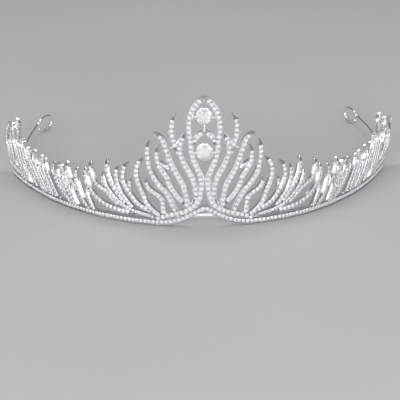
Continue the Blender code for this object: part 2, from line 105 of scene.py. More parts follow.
SINK_DEPTH = FLOOR + 0.35
SINK_BACK = 0.3  # how far the back comes forward there
FRONT_PART = -1.0  # a section's points nearer the front than this are its face and its channel

GIRDLE_IN = 0.16  # how far the girdles sit below the strand's face
STONE_ROOM = 0.2  # from a strand's edge to the edge of its stones
STONE_GAP = 0.12
STONE_TILT = 2.2  # degrees, as a standard deviation
LARGEST_STONE = 0.84
SMALLEST_STONE = 0.45
STONE_SHARES = (1.0, 0.85, 0.72)  # the sizes that are tried in a tight place
STONE_ASIDE = (0.0, 0.4, -0.4, 0.8, -0.8)  # and the places, from the middle to the two rims
STONE_OVERLAP = 0.02
MOST_HIDDEN = 0.3  # how far a stone's middle may lie inside an earlier strand
CENTRE_ROOM = 0.95  # from the front centre to the middle of a stone, in its radii
FIRST_STONE = 0.72  # where the first stone of a strand sits, as a share of its tip's length
ROOT_ROOM = 0.3
SEARCH_STEP = 0.15
BEAD = 0.2
BEAD_IN = 0.12  # from the rim's inner edge to the middle of a bead
BEAD_DOWN = 0.02
MOST_BEAD_GAP = 2.6  # no beads between stones further apart than this

RAIL_STONE = 0.72
RAIL_PITCH = 1.62
RAIL_RIM = 0.2
RAIL_START = 0.1
RAIL_ROOM = 0.7
RAIL_BEAD = 0.17
RAIL_BEAD_ASIDE = 0.52
RAIL_BEAD_DOWN = 0.04

# The rail's lower and upper edges, which rise over the front arch, as (s, z).
RAIL_LOW = [
    (0, 6.1), (0.9, 5.6), (2.4, 4.8), (4.4, 3.8), (6.3, 2.8), (8.5, 1.85), (11, 1.1), (14, 0.4),
    (17, 0), (20, 0)]
RAIL_HIGH = [
    (0, 8.3), (1.1, 7.8), (2.7, 6.95), (4.6, 6), (6.5, 5), (8.5, 4.15), (11, 3.45), (14, 2.95),
    (17, 2.7), (20, 2.6)]
BAND_LOW = [(0, 2.9), (5, 2.6), (9, 1.7), (13, 0.6), (17, 0), (20, 0)]

# The strands of one side, as in the CAD model: (width, width at the root, tip length, points from
# tip to root). The first stroke of a piece is the strand and the others branch from it.
PIECES = {
    "centre_scroll": [
        (2.1, 2.1, 4.0, [
            (-0.5, 48.5), (0.5, 47.8), (1.3, 47.1), (2.5, 45.8), (3.9, 44), (5.1, 41.4),
            (5.65, 38), (5.5, 34.6), (4.95, 31.8), (4.85, 28.9), (4.1, 25.4), (3, 22.4),
            (2, 20.2), (1.35, 18.4), (1.1, 16.4), (1.15, 14.2), (1.5, 12.3), (2, 10.4),
            (2.8, 8.9), (4.4, 7.3), (7, 5.9), (10.5, 4.8), (14, 3.9), (17.5, 2.5)]),
        (2.0, 2.0, 3.0, [
            (-0.5, 35.7), (0.5, 35.25), (1.3, 34.8), (2.1, 34.2), (3.2, 32.9), (4.4, 30.8)]),
    ],
    "inner_scroll": [
        (2.1, 2.1, 4.0, [
            (6.7, 35.2), (8.2, 32.4), (9, 29.9), (8.7, 27), (7.4, 23.4), (5.5, 20), (4.3, 17.6),
            (3.65, 15.4), (3.25, 13.3), (3.15, 11.4), (3.5, 9.4), (4.6, 7.6)]),
    ],
    "short_horn": [
        (2.1, 2.1, 5.0, [
            (9.9, 42.3), (11.1, 40.4), (11.8, 37.6), (11.7, 34.4), (11.1, 31.6), (9.8, 29),
            (9.2, 28)]),
    ],
    "hooked_scroll": [
        (2.1, 2.1, 5.0, [
            (19.3, 34.1), (17.9, 34.2), (16.1, 33.1), (14.8, 31.1), (14, 28.6), (13.1, 26),
            (11.7, 22.4), (9.9, 19.1), (8.3, 16.2), (7.1, 13.1), (6.5, 10), (6.8, 5.8)]),
    ],
    "long_leaf": [
        (2.0, 1.9, 5.0, [
            (16.4, 30.4), (17.3, 28.5), (17.4, 25.5), (16.8, 22.8), (15.2, 20.2), (13.8, 18.3),
            (13.1, 16), (11.5, 13.1), (9.6, 10.8), (7, 8.7)]),
        (1.8, 1.8, 1.0, [(16.9, 24.4), (15.4, 23), (13.9, 22.4), (12.4, 22.8)]),
    ],
    "tall_horn": [
        (2.1, 2.4, 5.0, [
            (20, 32), (20.8, 29.8), (21, 26), (20.4, 21.5), (18.9, 18.3), (16.6, 15.2),
            (14.3, 12.8), (12.6, 9.9), (11.2, 6.7), (10.3, 4.5)]),
    ],
    "crescent": [
        (2.1, 1.8, 4.0, [
            (22.4, 24.9), (24.4, 23.2), (25.6, 20.3), (25.4, 17.2), (24.1, 13.9), (22.9, 11.4),
            (22.1, 9), (20.4, 6.8), (18.3, 5), (16.6, 3.9), (14, 2.4)]),
    ],
    "low_spike": [
        (1.9, 1.9, 3.0, [
            (21.5, 17.5), (21.6, 15.6), (20.4, 13.5), (18.4, 12.2), (16.4, 10.9), (15.5, 8.8),
            (15.1, 6.4), (14.7, 2.3)]),
    ],
    "curled_leaf": [
        (2.1, 1.8, 5.0, [
            (28.3, 22.9), (30.2, 21.3), (31.1, 18.6), (31.1, 16), (29.7, 12.9), (27.5, 10.2),
            (25.2, 7.8), (22.4, 6.2), (19.8, 5.2), (18.4, 4.6)]),
        (1.7, 1.5, 3.0, [(27.2, 17.2), (28, 15.8), (28.3, 14.2), (28.2, 12.6), (28, 11)]),
    ],
    "long_wave": [
        (2.0, 1.2, 3.0, [
            (39.6, 17.5), (39.9, 16), (39.4, 13.9), (37.7, 11.6), (35.2, 9.2), (32.2, 6.9),
            (28.5, 5.2), (24, 4.2), (20, 3.4), (17, 2.3)]),
        (2.0, 1.6, 4.0, [
            (45.5, 20.7), (46.2, 18), (45.4, 15), (43.5, 12.6), (40.6, 11.2), (38, 9.8),
            (35.9, 8.2), (34, 6.8), (32.6, 5.8)]),
    ],
    "twin_leaf": [
        (2.0, 1.8, 4.0, [
            (32.6, 21.2), (33.8, 18.9), (33.8, 15.2), (32.5, 11.7), (30.1, 8.8), (28, 6.6),
            (26.2, 4.8)]),
        (2.1, 1.9, 4.0, [
            (37.7, 22.9), (38.1, 20), (37.1, 16.2), (35.3, 13), (33.3, 10.4), (31.2, 8),
            (29.2, 5.9)]),
    ],
    "split_wave": [
        (2.1, 2.2, 3.0, [
            (48.2, 17.9), (48.8, 15.6), (48.3, 13.1), (46.6, 10.2), (44.3, 7.9), (41, 6),
            (37.2, 4.9), (33.5, 4.2), (30, 4), (26.5, 4.4)]),
        (1.9, 1.6, 1.5, [(47.2, 11), (48.4, 8.6), (47.3, 6.2), (45.9, 4.1), (44.2, 1.9)]),
    ],
    "broad_leaf": [
        (2.1, 1.8, 3.0, [
            (52.8, 16.9), (53.9, 14.4), (53.6, 11), (52.3, 7.9), (50.5, 5.1), (46.9, 1.9)]),
    ],
    "tall_leaf": [
        (2.1, 2.0, 4.0, [
            (58.7, 18.2), (59.2, 15.7), (58.3, 12.5), (56.5, 10.2), (54.3, 8.6), (52.6, 7.6)]),
    ],
    "folded_leaf": [
        (2.0, 1.8, 3.0, [
            (65.9, 15.4), (63.4, 15), (61.2, 12.9), (59.3, 9.8), (57.2, 6.6), (53.8, 1.9)]),
        (1.9, 1.8, 2.0, [(62.9, 13.2), (62.3, 10.9), (60.4, 8), (58.1, 5.4), (54.8, 1.9)]),
    ],
    "winged_leaf": [
        (2.0, 1.7, 3.0, [
            (67, 16), (68.4, 13.8), (67.9, 11.2), (65.6, 8.2), (62.4, 5.8), (56.4, 1.9)]),
        (1.8, 1.6, 2.0, [(65.7, 13.8), (65.6, 11.8), (64.2, 9.3), (61.9, 7.1), (58.4, 3.8)]),
    ],
    "plain_leaf": [
        (2.0, 1.8, 4.0, [(74.4, 15.8), (74.7, 13.4), (73.1, 10.4), (70.4, 7.4), (65.1, 1.9)]),
    ],
    "paired_leaf": [
        (2.0, 1.8, 3.0, [(77.7, 16.3), (78, 14), (76.6, 11), (74.2, 7.9), (71.5, 5), (68.8, 1.9)]),
        (1.9, 1.6, 2.0, [(79.9, 12.4), (79.2, 10.3), (77, 7.8), (74.6, 5.7), (70.7, 2.2)]),
    ],
    "side_leaf": [
        (2.0, 1.8, 3.0, [
            (83.6, 16.8), (84.2, 14.4), (83.2, 11.3), (80.7, 8.3), (77.5, 5.5), (73, 1.9)]),
    ],
    "blade_leaf": [
        (2.0, 1.8, 3.0, [
            (90.3, 16.1), (88.7, 13), (86, 10.1), (82.8, 7.2), (79.4, 4.6), (76, 1.9)]),
        (1.9, 1.6, 2.0, [(91, 13.6), (89.7, 11), (87, 8.3), (83.9, 6.1), (80.4, 4.9)]),
    ],
    "blunt_leaf": [
        (2.5, 1.8, 1.8, [
            (95.1, 18.3), (95, 15.7), (93.4, 12.4), (90.6, 9.1), (87.1, 6), (83.3, 3.6),
            (80.7, 1.9)]),
    ],
    "flag_leaf": [
        (2.8, 1.8, 3.5, [
            (102.6, 24.6), (101.4, 21.6), (101.5, 18.4), (101.8, 15.4), (100, 11.6), (96.8, 8),
            (92.9, 4.9), (88, 1.9)]),
        (2.0, 1.7, 2.0, [
            (98.4, 17.2), (98.1, 14.6), (96, 11.4), (93, 8.2), (91.4, 5.9), (90.2, 3.2)]),
        (2.0, 1.7, 2.0, [
            (105, 15), (104.2, 12), (101.4, 8.6), (97.6, 5.6), (94.6, 3.9), (91.2, 1.9)]),
    ],
    "end_flame": [
        (2.4, 2.0, 3.5, [
            (112, 20.6), (115.3, 18), (117.9, 14.6), (118.2, 10.8), (116, 6.9), (112.4, 4.5),
            (107, 3.7), (102, 3.6), (98.5, 3.4), (94.6, 2.1)]),
        (2.0, 1.8, 2.5, [
            (108.4, 21.4), (107.4, 18.4), (107.5, 14.6), (105.6, 10.4), (102, 6.9), (98.4, 4.6),
            (93.5, 1.8)]),
        (2.0, 1.8, 2.0, [(111.6, 16.6), (111.9, 13), (109.8, 8.8), (106, 5.3), (103.4, 3.9)]),
        (2.0, 1.8, 2.0, [(115.2, 12.8), (114.4, 9.2), (111.4, 6), (107.6, 3.9)]),
    ],
}

# Solder beads that link a strand to its neighbour, as (s, z, out, radius).
LINKS = {"hooked_scroll": [(11.7, 29.7, -0.35, 0.38), (12.3, 29.3, -0.35, 0.38)]}

# Each tail, as in the CAD model: the wire's route as (x, y, z) with y from the front centre, from
# the horseshoe's end to the lug, and the far end of the hairpin eye.
TAILS = {
    "left": (
        [(-69.9, 71.3, 0.8), (-71.1, 84, 2), (-70, 98, 3), (-68.1, 112, 3.9), (-65.5, 128, 4.6)],
        (-60.2, 140.2)),
    "right": (
        [(69.9, 71.3, 0.8), (73, 86, 2.1), (73.6, 101, 3), (72.3, 117, 3.9), (69.1, 134, 4.6)],
        (65.2, 146)),
}
WIRE_RADIUS = 0.5
WIRE_SPACING = 1.5
LUG_RADIUS = 1.0
LUG_STRETCH = (1.0, 1.25, 1.0)
LUG_GAP = 0.15  # from the lug's end to the start of the eye's wire
EYE_HEIGHT = 6.6
EYE_MOUTH = 22.0  # degrees left open on each side of the lug
EYE_SQUARENESS = 0.8
EYE_STEPS = 64
EYE_WIRE = 0.97 * WIRE_RADIUS
EYE_SWELL = 0.3  # how much thicker the eye's wire is at its far bend, as a share
SWELL_REACH = 6.0  # in steps
EYE_BALL = 0.62  # the rounded free end of the eye's wire


# --- Materials -------------------------------------------------------------------------------


class Nodes:
    """Short calls for building a material's node tree."""

    def __init__(self, name):
        self.material = bpy.data.materials.new(name)
        self.material.use_nodes = True
        self.tree = self.material.node_tree
        self.shader = self.tree.nodes["Principled BSDF"]

    def add(self, kind, **values):
        node = self.tree.nodes.new(kind)
        for key, value in values.items():
            node.inputs[key].default_value = value
        return node

    def link(self, source, target):
        self.tree.links.new(source, target)

    def noise(self, scale, detail=2.0, stretch=(1, 1, 1)):
        place = self.add("ShaderNodeTexCoord")
        mapping = self.add("ShaderNodeMapping", Scale=stretch)
        noise = self.add("ShaderNodeTexNoise", Scale=scale, Detail=detail)
        self.link(place.outputs["Object"], mapping.inputs["Vector"])
        self.link(mapping.outputs["Vector"], noise.inputs["Vector"])
        return noise.outputs["Fac"]

    def ramp(self, source, low, high, start=0.3, end=0.7):
        """A colour or grey value that goes from low to high as source goes from start to end."""
        ramp = self.add("ShaderNodeValToRGB")
        ramp.color_ramp.elements[0].position = start
        ramp.color_ramp.elements[1].position = end
        for element, value in zip(ramp.color_ramp.elements, (low, high)):
            element.color = (*value, 1) if isinstance(value, tuple) else (value, value, value, 1)
        self.link(source, ramp.inputs["Fac"])
        return ramp.outputs["Color"]

    def bump(self, height, strength, distance):
        bump = self.add("ShaderNodeBump", Strength=strength, Distance=distance)
        self.link(height, bump.inputs["Height"])
        self.link(bump.outputs["Normal"], self.shader.inputs["Normal"])


WEAR_SCALE = 420.0
HAZE_SCALE = 1600.0
POLISH_SCALE = 2600.0
POLISH_STRETCH = (1, 1, 0.25)
POLISH_STRENGTH = 0.25
POLISH_DEPTH = 0.00002


def polished_metal(name, bright, dull, smooth, rough):
    """Rhodium plate: cloudy wear in its colour and roughness, and fine polishing lines."""
    made = Nodes(name)
    made.shader.inputs["Metallic"].default_value = 1.0
    wear = made.noise(WEAR_SCALE, 3.0)
    made.link(made.ramp(wear, dull, bright), made.shader.inputs["Base Color"])
    haze = made.noise(HAZE_SCALE)
    made.link(made.ramp(haze, smooth, rough), made.shader.inputs["Roughness"])
    made.bump(made.noise(POLISH_SCALE, stretch=POLISH_STRETCH), POLISH_STRENGTH, POLISH_DEPTH)
    return made.material


def stone_material(name, tint, roughness, index, clear):
    """Cut white stones, of which each takes its own tone between the tint and plain white."""
    made = Nodes(name)
    island = made.add("ShaderNodeNewGeometry").outputs["Random Per Island"]
    made.link(made.ramp(island, tint, (1.0, 1.0, 1.0), 0.0, 1.0), made.shader.inputs["Base Color"])
    made.shader.inputs["Roughness"].default_value = roughness
    made.shader.inputs["IOR"].default_value = index
    made.shader.inputs["Transmission Weight"].default_value = clear
    return made.material


def floor_material():
    """A matt pale grey with a faint broad cloud."""
    made = Nodes("pale_floor")
    made.link(made.ramp(made.noise(6.0), 0.47, 0.49), made.shader.inputs["Base Color"])
    made.shader.inputs["Roughness"].default_value = 0.85
    made.shader.inputs["Specular IOR Level"].default_value = 0.2
    return made.material


SILVER = polished_metal("bright_metal", (0.96, 0.96, 0.97), (0.88, 0.88, 0.9), 0.16, 0.3)
# Darker metal for the channel floors: a painted shade for the shadow down in the channels under the
# stones, not a different metal
CHANNEL_PAINTED_SHADE = polished_metal("channel_painted_shade_metal", (0.42, 0.42, 0.45), (0.26, 0.26, 0.29), 0.3, 0.5)
STONE = stone_material("clear_stone", (0.88, 0.9, 0.95), 0.02, 2.2, 0.45)
BIG_STONE = stone_material("large_clear_stone", (0.9, 0.92, 0.97), 0.0, 2.2, 0.7)


# --- Laying out on the horseshoe -------------------------------------------------------------


def run_along(line):
    """The distance from the first point of a line to each of its points."""
    steps = np.linalg.norm(np.diff(line, axis=0), axis=1)
    return np.concatenate([[0], np.cumsum(steps)])


def horseshoe():
    """Arc length, x, y and the outward direction along the right half, front centre first."""
    t = np.linspace(0, math.pi / 2, 6001)
    x = HALF_WIDTH * np.sin(t) ** (2 / ROUNDNESS)
    y = HALF_DEPTH - HALF_DEPTH * np.clip(np.cos(t), 0, 1) ** (2 / ROUNDNESS)
    length = run_along(np.stack([x, y], axis=1))
    even = np.arange(0, HALF_LENGTH, PLAN_STEP)
    even_x, even_y = np.interp(even, length, x), np.interp(even, length, y)
    along_x, along_y = np.gradient(even_x), np.gradient(even_y)
    along_y[0] = 0
    size = np.hypot(along_x, along_y)
    return even, even_x, even_y, along_y / size, -along_x / size


STEPS, PLAN_X, PLAN_Y, OUT_X, OUT_Y = horseshoe()


def on_wall(side, s, z, out):
    """Points on the horseshoe's outer face in metres, lifted off it by out; s, z and out are arrays."""
    hand = -1 if side == "left" else 1
    s, z, out = np.asarray(s, float), np.asarray(z, float), np.asarray(out, float)
    lean = np.clip((np.abs(s) - FLARE_START) / (FLARE_FULL - FLARE_START), 0, 1)
    out = out + lean * lean * (3 - 2 * lean) * END_FLARE[side] * z / FLARE_HEIGHT
    plan_x, plan_y, out_x, out_y = [
        np.interp(np.abs(s), STEPS, values) for values in (PLAN_X, PLAN_Y, OUT_X, OUT_Y)]
    x = np.where(s < 0, -1, 1) * (plan_x + out_x * out)
    y = plan_y + out_y * out
    return np.stack([FRONT_X + hand * x, FRONT_Y + y, z], axis=-1) * MM


def smooth_line(points, spacing):
    """Points about spacing apart on a centripetal Catmull-Rom curve through the given ones."""
    ends = [tuple(2 * a - b for a, b in zip(points[0], points[1]))]
    ends += list(points)
    ends += [tuple(2 * a - b for a, b in zip(points[-1], points[-2]))]
    line = []
    for p0, p1, p2, p3 in zip(ends, ends[1:], ends[2:], ends[3:]):
        t1 = math.dist(p0, p1) ** 0.5
        t2 = t1 + math.dist(p1, p2) ** 0.5
        t3 = t2 + math.dist(p2, p3) ** 0.5
        count = max(1, round(math.dist(p1, p2) / spacing))
        for k in range(count):
            t = t1 + (t2 - t1) * k / count
            point = []
            for a, b, c, d in zip(p0, p1, p2, p3):
                ab = a + (b - a) * t / t1
                bc = b + (c - b) * (t - t1) / (t2 - t1)
                cd = c + (d - c) * (t - t2) / (t3 - t2)
                abc = ab + (bc - ab) * t / t2
                bcd = bc + (cd - bc) * (t - t1) / (t3 - t1)
                point.append(abc + (bcd - abc) * (t - t1) / (t2 - t1))
            line.append(tuple(point))
    return line + [tuple(points[-1])]


def edge_height(edge, s):
    """The height of a curved edge at each s, level beyond its last point."""
    return np.interp(s, *zip(*smooth_line(edge, EDGE_SPACING)))


def finer_tip(line):
    """The same line with extra points in its first stretches, for the rounded tip."""
    run = run_along(line)
    extra = TIP_ROUND * np.array(TIP_SECTIONS)
    wanted = np.concatenate([[0], extra, run[run > TIP_ROUND]])
    return np.stack([np.interp(wanted, run, line[:, k]) for k in (0, 1)], axis=1)


class Strand:
    """A bar on the wall, read section by section along its middle.

    half is each section's half width, floor is how deep its channel is, and tip goes from 0 at a
    rounded point to 1 where the bar has its whole depth.
    """

    def __init__(self, middle):
        along = np.gradient(middle, axis=0)
        along /= np.linalg.norm(along, axis=1)[:, None]
        self.middle = middle
        self.across = np.stack([along[:, 1], -along[:, 0]], axis=1)
        self.run = run_along(middle)
        self.half = np.zeros(len(middle))
        self.floor = np.full(len(middle), FLOOR)
        self.tip = np.ones(len(middle))

    def at(self, run):
        """The middle, the across direction and the half width at a distance from the tip."""
        middle = np.array([np.interp(run, self.run, self.middle[:, k]) for k in (0, 1)])
        across = np.array([np.interp(run, self.run, self.across[:, k]) for k in (0, 1)])
        return middle, across / np.linalg.norm(across), np.interp(run, self.run, self.half)


def rail_strand():
    """The rail, from the front centre to its end."""
    s = np.arange(0, RAIL_END + RAIL_STEP / 2, RAIL_STEP)
    low, high = edge_height(RAIL_LOW, s), edge_height(RAIL_HIGH, s)
    rail = Strand(np.stack([s, (low + high) / 2], axis=1))
    rail.half = (high - low) / 2 * np.abs(rail.across[:, 1])
    return rail


def tracery_strand(width, root_width, tip_length, points):
    """A stroke of the tracery, which narrows to a rounded tip with a shallower channel."""
    strand = Strand(finer_tip(np.array(smooth_line(points, SPACING))))
    full = width + (root_width - width) * strand.run / strand.run[-1]
    share = np.clip(strand.run / tip_length, 0, 1)
    strand.tip = np.sqrt(1 - (1 - np.clip(strand.run / TIP_ROUND, TIP_SECTIONS[0], 1)) ** 2)
    strand.half = 0.5 * (TIP_WIDTH + (full - TIP_WIDTH) * np.sin(0.5 * math.pi * share)) * strand.tip
    strand.floor = (TIP_FLOOR + (FLOOR - TIP_FLOOR) * share**2) * strand.tip
    return strand


def inside_of(points, strands):
    """How far each (s, z) point lies inside the nearest of the strands, in millimetres."""
    depth = np.full(len(points), -np.inf)
    for strand in strands:
        gaps = np.linalg.norm(points[:, None] - strand.middle[None], axis=2)
        depth = np.maximum(depth, (strand.half[None] - gaps).max(axis=1))
    return depth


# --- Meshes ----------------------------------------------------------------------------------


def new_object(name, points, faces, materials, slots=None, sharp=35.0):
    """A mesh object whose edges are shaded sharp above an angle, or a flat one when that is 0."""
    mesh = bpy.data.meshes.new(name)
    mesh.from_pydata([tuple(point) for point in points], [], faces)
    for material in materials:
        mesh.materials.append(material)
    if slots is not None:
        mesh.polygons.foreach_set("material_index", slots)
    mesh.validate()
    mesh.update()
    if sharp:
        mesh.shade_smooth()
        mesh.set_sharp_from_angle(angle=math.radians(sharp))
    made = bpy.data.objects.new(name, mesh)
    bpy.context.scene.collection.objects.link(made)
    return made


def finish_piece(piece, slot, *nodes):
    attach(piece, "root")
    if nodes:
        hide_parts(*nodes)
    return piece


def gather(shapes):
    """Several (points, faces) as one."""
    points, faces = [], []
    for some, their_faces in shapes:
        first = len(points)
        points += list(some)
        faces += [tuple(first + k for k in face) for face in their_faces]
    return points, faces


def tube_faces(rows, width):
    """Quads between neighbouring rows of a closed section, row by row."""
    faces = []
    for i in range(rows - 1):
        for j in range(width):
            a, b, k = i * width, (i + 1) * width, (j + 1) % width
            faces.append((a + j, a + k, b + k, b + j))
    return faces


def closed_tube_faces(rows, width):
    """The same quads with the two end caps."""
    last = (rows - 1) * width
    caps = [tuple(range(width - 1, -1, -1)), tuple(range(last, last + width))]
    return tube_faces(rows, width) + caps


def mirrored(faces):
    return [tuple(reversed(face)) for face in faces]


def channel_section(half, floor, rim):
    """The outline across a strand, as (across, out), from its back left corner over the front."""
    rim = min(rim, RIM_SHARE * half)
    bevel = min(BEVEL, RIM_SHARE * rim)
    inner = -half + rim
    inner_width, inner_depth = INNER_BEVEL
    left = [
        (-BACK_WIDTH * half, -STRAND_DEPTH), (-half, -STRAND_DEPTH + BACK_BEVEL), (-half, -bevel),
        (-half + bevel, 0.0), (inner - inner_width * bevel, 0.0), (inner, -inner_depth * bevel),
        (inner + WALL_SLOPE * rim, -floor)]
    right = [(-across, out) for across, out in reversed(left)]
    return left + [(0.0, -floor)] + right


# The channel floor's stretches get the darker metal, which paints the shade down in the channel
FLOOR_BANDS = (6, 7)  # the stretches of the section that make the channel's floor


def strand_rows(strand, earlier, rim=RIM, trim=0.0):
    """(s, z, out) of every section point, with what lies inside an earlier strand sunk into it.

    trim comes off the back, so that strands that cross don't share a plane there.
    """
    rows = []
    for middle, across, half, floor, tip in zip(
            strand.middle, strand.across, strand.half, strand.floor, strand.tip):
        for aside, out in channel_section(half, floor, rim):
            if out < FRONT_PART:
                out = out * (TIP_BACK + (1 - TIP_BACK) * tip) + trim
            rows.append((*(middle + across * aside), out))
    rows = np.array(rows)
    if earlier:
        depth = inside_of(rows[:, :2], earlier)
        sunk = np.clip((depth + SINK_START) / SINK_RUN, 0, 1)
        front = rows[:, 2] > FRONT_PART
        rows[:, 2] += np.where(front, -sunk * SINK_DEPTH, sunk * SINK_BACK)
    rows[:, 0] = np.maximum(rows[:, 0], 0.0)
    return rows


def strand_object(name, side, parts, node):
    """One object for a piece: its main stroke and its branches, each a closed channel bar."""
    bars, slots = [], []
    for strand, rows in parts:
        sections = len(strand.middle)
        width = len(rows) // sections
        faces = closed_tube_faces(sections, width)
        bars.append((on_wall(side, *rows.T), mirrored(faces) if side == "left" else faces))
        # Slot 1, the darker metal with the painted channel shade, goes on the floor stretches; the rest
        # is bright metal
        slots += [int(j in FLOOR_BANDS) for j in range(width)] * (sections - 1) + [0, 0]
    piece = new_object(name, *gather(bars), [SILVER, CHANNEL_PAINTED_SHADE], slots)
    finish_piece(piece, "bright_metal", node)


# --- Stones ----------------------------------------------------------------------------------


def brilliant(table, crown, pavilion, full=False):
    """A round brilliant of radius 1, its girdle's middle at height 0 and its table up.

    A full cut has kite facets between its table, its girdle and its culet, and a plain one has
    only triangles there.
    """
    half_girdle = 0.025
    crown_radius = 0.49 * (1 + table)  # where two of the crown's kites meet
    crown_height = half_girdle + 0.52 * crown
    low_radius = 0.24  # and two of the pavilion's
    low_height = -half_girdle - 0.76 * pavilion
    points, faces = [], []

    def ring(count, radius, height, turn=0.0):
        first = len(points)
        for k in range(count):
            angle = 2 * math.pi * (k + turn) / count
            points.append((radius * math.cos(angle), radius * math.sin(angle), height))
        return [first + k for k in range(count)]

    top = ring(8, table, crown + half_girdle)
    upper = ring(16, 1.0, half_girdle)
    lower = ring(16, 1.0, -half_girdle)
    faces.append(tuple(top))
    if full:
        middle = ring(8, crown_radius, crown_height, 0.5)
        for k in range(8):
            after = (k + 1) % 8
            faces.append((top[k], middle[k], top[after]))
            faces.append((top[k], middle[k - 1], upper[2 * k], middle[k]))
            faces.append((middle[k], upper[2 * k], upper[2 * k + 1]))
            faces.append((middle[k], upper[2 * k + 1], upper[(2 * k + 2) % 16]))
    else:
        for k in range(8):
            after = (k + 1) % 8
            faces.append((top[k], upper[2 * k + 1], top[after]))
            faces.append((top[k], upper[2 * k - 1], upper[2 * k]))
            faces.append((top[k], upper[2 * k], upper[2 * k + 1]))
    for k in range(16):
        after = (k + 1) % 16
        faces.append((upper[k], lower[k], lower[after], upper[after]))
    culet = len(points)
    points.append((0.0, 0.0, -pavilion - half_girdle))
    if full:
        low = ring(8, low_radius, low_height, 0.5)
        for k in range(8):
            after = (2 * k + 2) % 16
            faces.append((lower[2 * k], low[k - 1], culet, low[k]))
            faces.append((lower[2 * k], low[k], lower[2 * k + 1]))
            faces.append((lower[2 * k + 1], low[k], lower[after]))
    else:
        for k in range(8):
            after = (2 * k + 2) % 16
            faces.append((lower[2 * k], culet, lower[2 * k + 1]))
            faces.append((lower[2 * k + 1], culet, lower[after]))
    return np.array(points), faces


SMALL_CUT = brilliant(table=0.56, crown=0.3, pavilion=0.78)
FULL_CUT = brilliant(table=0.58, crown=0.32, pavilion=0.86, full=True)
DICE = random.Random(41)


def wall_matrix(side, s, z):
    """Turns a shape that lies face up so that it faces out of the wall at (s, z)."""
    step = 0.3
    here = on_wall(side, s, z, 0.0)
    out = Vector(on_wall(side, s, z, 1.0) - here).normalized()
    up = Vector(on_wall(side, s, z + step, 0.0) - here).normalized()
    right = up.cross(out).normalized()
    return Matrix((right, out.cross(right), out)).transposed()


def stones_object(name, side, stones):
    """One object with all the small stones of a piece; stones are (s, z, out, radius)."""
    shape, cut_faces = SMALL_CUT
    shapes = []
    for s, z, out, radius in stones:
        turn = Matrix.Rotation(DICE.uniform(0, math.pi / 4), 3, "Z")
        tip = Matrix.Rotation(math.radians(DICE.gauss(0, STONE_TILT)), 3, "X")
        roll = Matrix.Rotation(math.radians(DICE.gauss(0, STONE_TILT)), 3, "Y")
        matrix = np.array(wall_matrix(side, s, z) @ tip @ roll @ turn)
        shapes.append((on_wall(side, s, z, out) + (shape * radius * MM) @ matrix.T, cut_faces))
    piece = new_object(name, *gather(shapes), [STONE], sharp=0)
    finish_piece(piece, "clear_stone")


def ball_shape(subdivisions):
    bm = bmesh.new()
    bmesh.ops.create_icosphere(bm, subdivisions=subdivisions, radius=1.0)
    points = np.array([vert.co[:] for vert in bm.verts])
    faces = [tuple(vert.index for vert in face.verts) for face in bm.faces]
    bm.free()
    return points, faces


SMALL_BALL = ball_shape(1)
ROUND_BALL = ball_shape(3)


def beads_object(name, side, beads):
    """The bead prongs of a piece; beads are (s, z, out, radius)."""
    shape, bead_faces = SMALL_BALL
    shapes = []
    for s, z, out, radius in beads:
        shapes.append((on_wall(side, s, z, out) + shape * radius * MM, bead_faces))
    piece = new_object(name, *gather(shapes), [SILVER], sharp=80)
    finish_piece(piece, "bright_metal")


class Setter:
    """Sets stones along strands and remembers where they are, so that none overlap."""

    def __init__(self):
        self.placed = []

    def free(self, spot, radius):
        return all(
            math.dist(spot, other[:2]) > radius + other[2] - STONE_OVERLAP for other in self.placed)

    def fit(self, middle, across, half, earlier):
        """The place and size of the largest stone that fits here, or a size of 0 when none does."""
        for share in STONE_SHARES:
            size = min(half - STONE_ROOM, LARGEST_STONE) * share
            if size < SMALLEST_STONE:
                break
            for aside in STONE_ASIDE if share < 1 else (0.0,):
                spot = middle + across * aside * (half - RIM - size)
                shown = inside_of(spot[None], earlier)[0] < MOST_HIDDEN
                if shown and spot[0] > size * CENTRE_ROOM and self.free(spot, size):
                    return spot, size
        return middle, 0.0

    def set_along(self, strand, earlier, first):
        """Stones and bead prongs down a strand, from the distance first to its root."""
        stones, beads = [], []
        run, last = first, -MOST_BEAD_GAP
        while run < strand.run[-1] - ROOT_ROOM:
            spot, radius = self.fit(*strand.at(run), earlier)
            if not radius:
                run += SEARCH_STEP
                continue
            stones.append((*spot, -GIRDLE_IN, radius))
            self.placed.append((*spot, radius))
            if run - last < MOST_BEAD_GAP:
                between, across, half = strand.at((run + last) / 2)
                for hand in (-1, 1):
                    place = between + across * hand * (half - RIM - BEAD_IN)
                    beads.append((*place, -BEAD_DOWN, BEAD))
            last = run
            run += 2 * radius + STONE_GAP
        return stones, beads


# --- Strands with their stones ---------------------------------------------------------------


def make_rails(setter):
    rail = rail_strand()
    rows = strand_rows(rail, [], rim=RAIL_RIM)
    stones, beads = [], []
    run = RAIL_STONE + RAIL_START
    while run < rail.run[-1] - RAIL_ROOM:
        middle, _, _ = rail.at(run)
        stones.append((*middle, -GIRDLE_IN, RAIL_STONE))
        setter.placed.append((*middle, RAIL_STONE))
        between, across, _ = rail.at(run + RAIL_PITCH / 2)
        for hand in (-1, 1):
            beads.append((*(between + across * hand * RAIL_BEAD_ASIDE), -RAIL_BEAD_DOWN, RAIL_BEAD))
        run += RAIL_PITCH
    for side in SIDES:
        strand_object(f"rail_{side}_channel", side, [(rail, rows)], f"rail_{side}")
        stones_object(f"rail_{side}_stones", side, stones)
        beads_object(f"rail_{side}_prongs", side, beads)
    return rail


